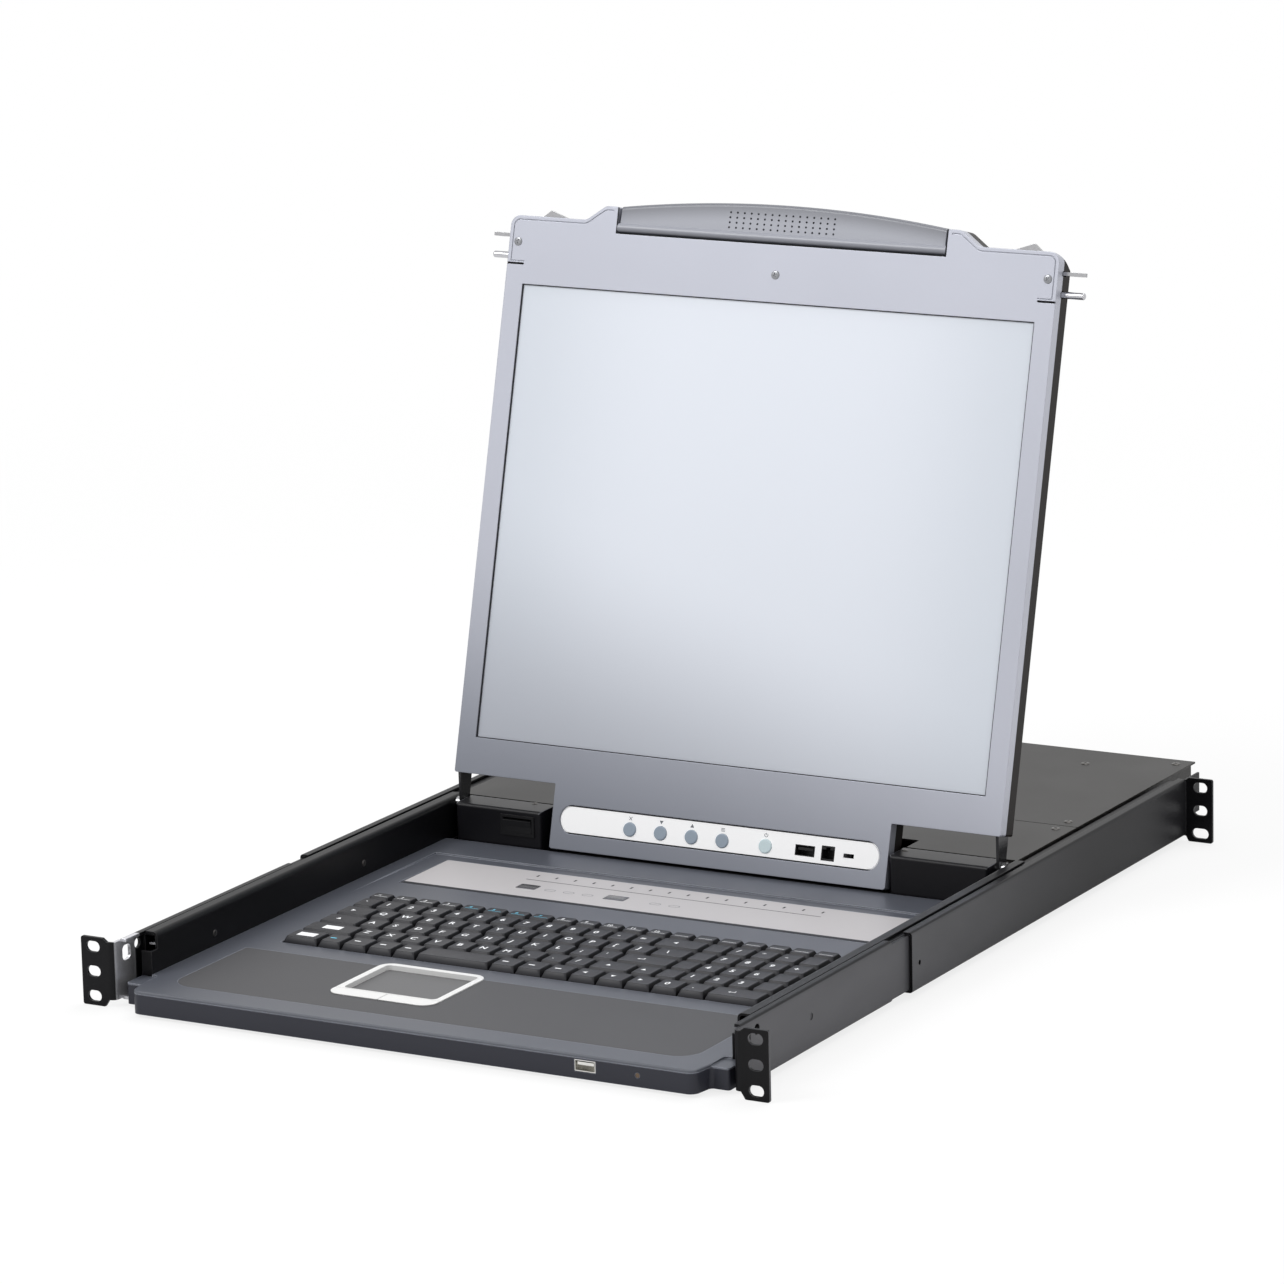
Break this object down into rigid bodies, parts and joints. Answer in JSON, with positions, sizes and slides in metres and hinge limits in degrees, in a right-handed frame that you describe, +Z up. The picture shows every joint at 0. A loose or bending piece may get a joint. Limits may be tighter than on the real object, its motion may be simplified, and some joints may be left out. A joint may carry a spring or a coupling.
{
  "type": "rackmount lcd console drawer",
  "caption": "Pull-out rack console: ball-bearing drawer with keyboard and touchpad, folding flat display with carrying grip, telescopic rack brackets and rear electronics case.",
  "frame": {"origin": "middle of the four corner holes of the front rack ears, on the ears' front face", "axes": "+X to the user's right along the rack width, +Y into the rack, +Z up"},
  "size_m": [0.4826, 0.697, 0.4397],
  "materials": {
    "black_steel": "satin black powder coat",
    "case_steel": "satin brown-black paint",
    "bright_steel": "bright zinc plate",
    "chrome_pin": "polished",
    "deck_slate": "soft satin slate blue",
    "fascia_dark": "satin",
    "rest_film": "fine matt film",
    "silver_trim": "silver lacquer",
    "pad_grey": "matt",
    "strip_grey": "printed satin film",
    "key_plastic": "fine satin",
    "display_slate": "satin metallic grey-blue",
    "cover_black": "satin black",
    "screen": "smooth anti-glare",
    "grip_grey": "satin",
    "white_strip": "satin white",
    "button_grey": "satin",
    "button_pale": "satin",
    "port_black": "moulded",
    "lens": "smoked",
    "board_green": "solder mask",
    "port_shell": "nickel plate"
  },
  "bodies": {
    "console_frame": {"front_bracket_left": "black_steel", "front_bracket_right": "black_steel", "side_rail_left": "black_steel", "side_rail_right": "black_steel", "rear_case": "case_steel", "rear_cover": "case_steel", "middle_cover": "case_steel", "rear_ports": "port_shell", "power_inlet": "port_black", "main_board": "board_green", "power_supply": "cover_black", "case_screws": "bright_steel"},
    "rear_bracket_left": {"rear_bracket_left": "black_steel"},
    "rear_bracket_right": {"rear_bracket_right": "black_steel"},
    "ball_cage_left": {"ball_cage_left": "bright_steel"},
    "ball_cage_right": {"ball_cage_right": "bright_steel"},
    "drawer": {"drawer_side_left": "black_steel", "drawer_side_right": "black_steel", "front_fascia": "fascia_dark", "front_usb_port": "port_shell", "hinge_block_left": "black_steel", "hinge_block_right": "black_steel", "hinge_shafts": "bright_steel", "keyboard_deck": "deck_slate", "keyboard_plate": "black_steel", "palm_rest": "rest_film", "port_strip": "strip_grey", "power_led": "lens", "rocker_housing": "port_black", "slide_runners": "bright_steel", "touchpad_frame": "silver_trim", "touchpad_surface": "pad_grey", "tray_pan": "black_steel"},
    "touchpad_button_left": {"touchpad_button_left": "silver_trim"},
    "touchpad_button_right": {"touchpad_button_right": "silver_trim"},
    "power_rocker": {"power_rocker": "port_black"},
    "keys_bottom_row": {"keys_bottom_row": "key_plastic"},
    "keys_lower_row": {"keys_lower_row": "key_plastic"},
    "keys_home_row": {"keys_home_row": "key_plastic"},
    "keys_upper_row": {"keys_upper_row": "key_plastic"},
    "keys_number_row": {"keys_number_row": "key_plastic"},
    "keys_function_row": {"keys_function_row": "key_plastic"},
    "display": {"hinge_leaves": "bright_steel", "lid_bezel": "display_slate", "lid_back_cover": "cover_black", "lid_panel": "screen", "handle_grip": "grip_grey", "control_strip": "white_strip", "lid_ports": "port_black", "bezel_screws": "bright_steel"},
    "exit_button": {"exit_button": "button_grey"},
    "down_button": {"down_button": "button_grey"},
    "up_button": {"up_button": "button_grey"},
    "menu_button": {"menu_button": "button_grey"},
    "panel_power_button": {"panel_power_button": "button_pale"},
    "recovery_switch": {"recovery_switch": "port_black"},
    "release_catch_left": {"release_catch_left": "black_steel", "latch_pin_left": "chrome_pin"},
    "release_catch_right": {"release_catch_right": "black_steel", "latch_pin_right": "chrome_pin"}
  },
  "joints": [
    {"name": "rear_bracket_left_slide", "type": "slide", "parent": "console_frame", "child": "rear_bracket_left", "axis": [0, 1, 0], "range_m": [-0.02, 0.12]},
    {"name": "rear_bracket_right_slide", "type": "slide", "parent": "console_frame", "child": "rear_bracket_right", "axis": [0, 1, 0], "range_m": [-0.02, 0.12]},
    {"name": "drawer_slide", "type": "slide", "parent": "console_frame", "child": "drawer", "axis": [0, -1, 0], "range_m": [0, 0.4]},
    {"name": "ball_cage_left_roll", "type": "slide", "parent": "console_frame", "child": "ball_cage_left", "axis": [0, -1, 0], "range_m": [0, 0.2]},
    {"name": "ball_cage_right_roll", "type": "slide", "parent": "console_frame", "child": "ball_cage_right", "axis": [0, -1, 0], "range_m": [0, 0.2]},
    {"name": "touchpad_button_left_press", "type": "slide", "parent": "drawer", "child": "touchpad_button_left", "axis": [0, 0, -1], "range_m": [0, 0.0005], "stiffness_N_per_m": 700, "springref_m": -0.0005},
    {"name": "touchpad_button_right_press", "type": "slide", "parent": "drawer", "child": "touchpad_button_right", "axis": [0, 0, -1], "range_m": [0, 0.0005], "stiffness_N_per_m": 700, "springref_m": -0.0005},
    {"name": "power_rocker_tilt", "type": "hinge", "parent": "drawer", "child": "power_rocker", "pos_m": [-0.15, 0.384, 0.0092], "axis": [-1, 0, 0], "range_deg": [0, 14]},
    {"name": "keys_bottom_row_press", "type": "slide", "parent": "drawer", "child": "keys_bottom_row", "axis": [0, 0, -1], "range_m": [0, 0.0025], "stiffness_N_per_m": 600, "springref_m": -0.0015},
    {"name": "keys_lower_row_press", "type": "slide", "parent": "drawer", "child": "keys_lower_row", "axis": [0, 0, -1], "range_m": [0, 0.0025], "stiffness_N_per_m": 600, "springref_m": -0.0015},
    {"name": "keys_home_row_press", "type": "slide", "parent": "drawer", "child": "keys_home_row", "axis": [0, 0, -1], "range_m": [0, 0.0025], "stiffness_N_per_m": 600, "springref_m": -0.0015},
    {"name": "keys_upper_row_press", "type": "slide", "parent": "drawer", "child": "keys_upper_row", "axis": [0, 0, -1], "range_m": [0, 0.0025], "stiffness_N_per_m": 600, "springref_m": -0.0015},
    {"name": "keys_number_row_press", "type": "slide", "parent": "drawer", "child": "keys_number_row", "axis": [0, 0, -1], "range_m": [0, 0.0025], "stiffness_N_per_m": 600, "springref_m": -0.0015},
    {"name": "keys_function_row_press", "type": "slide", "parent": "drawer", "child": "keys_function_row", "axis": [0, 0, -1], "range_m": [0, 0.0025], "stiffness_N_per_m": 600, "springref_m": -0.0015},
    {"name": "display_hinge", "type": "hinge", "parent": "drawer", "child": "display", "pos_m": [0, 0.395, 0.016], "axis": [1, 0, 0], "range_deg": [-10, 104.8]},
    {"name": "exit_button_press", "type": "slide", "parent": "display", "child": "exit_button", "axis": [0, 0.9668, -0.2554], "range_m": [0, 0.0008], "stiffness_N_per_m": 600, "springref_m": -0.0006},
    {"name": "down_button_press", "type": "slide", "parent": "display", "child": "down_button", "axis": [0, 0.9668, -0.2554], "range_m": [0, 0.0008], "stiffness_N_per_m": 600, "springref_m": -0.0006},
    {"name": "up_button_press", "type": "slide", "parent": "display", "child": "up_button", "axis": [0, 0.9668, -0.2554], "range_m": [0, 0.0008], "stiffness_N_per_m": 600, "springref_m": -0.0006},
    {"name": "menu_button_press", "type": "slide", "parent": "display", "child": "menu_button", "axis": [0, 0.9668, -0.2554], "range_m": [0, 0.0008], "stiffness_N_per_m": 600, "springref_m": -0.0006},
    {"name": "panel_power_button_press", "type": "slide", "parent": "display", "child": "panel_power_button", "axis": [0, 0.9668, -0.2554], "range_m": [0, 0.0008], "stiffness_N_per_m": 600, "springref_m": -0.0006},
    {"name": "recovery_switch_slide", "type": "slide", "parent": "display", "child": "recovery_switch", "axis": [1, 0, 0], "range_m": [0, 0.002]},
    {"name": "release_catch_left_slide", "type": "slide", "parent": "display", "child": "release_catch_left", "axis": [1, 0, 0], "range_m": [0, 0.008], "stiffness_N_per_m": 300, "springref_m": -0.004},
    {"name": "release_catch_right_slide", "type": "slide", "parent": "display", "child": "release_catch_right", "axis": [-1, 0, 0], "range_m": [0, 0.008], "stiffness_N_per_m": 300, "springref_m": -0.004}
  ],
  "couplings": [
    {"joint": "ball_cage_left_roll", "follows": "drawer_slide", "ratio": 0.5},
    {"joint": "ball_cage_right_roll", "follows": "drawer_slide", "ratio": 0.5}
  ]
}
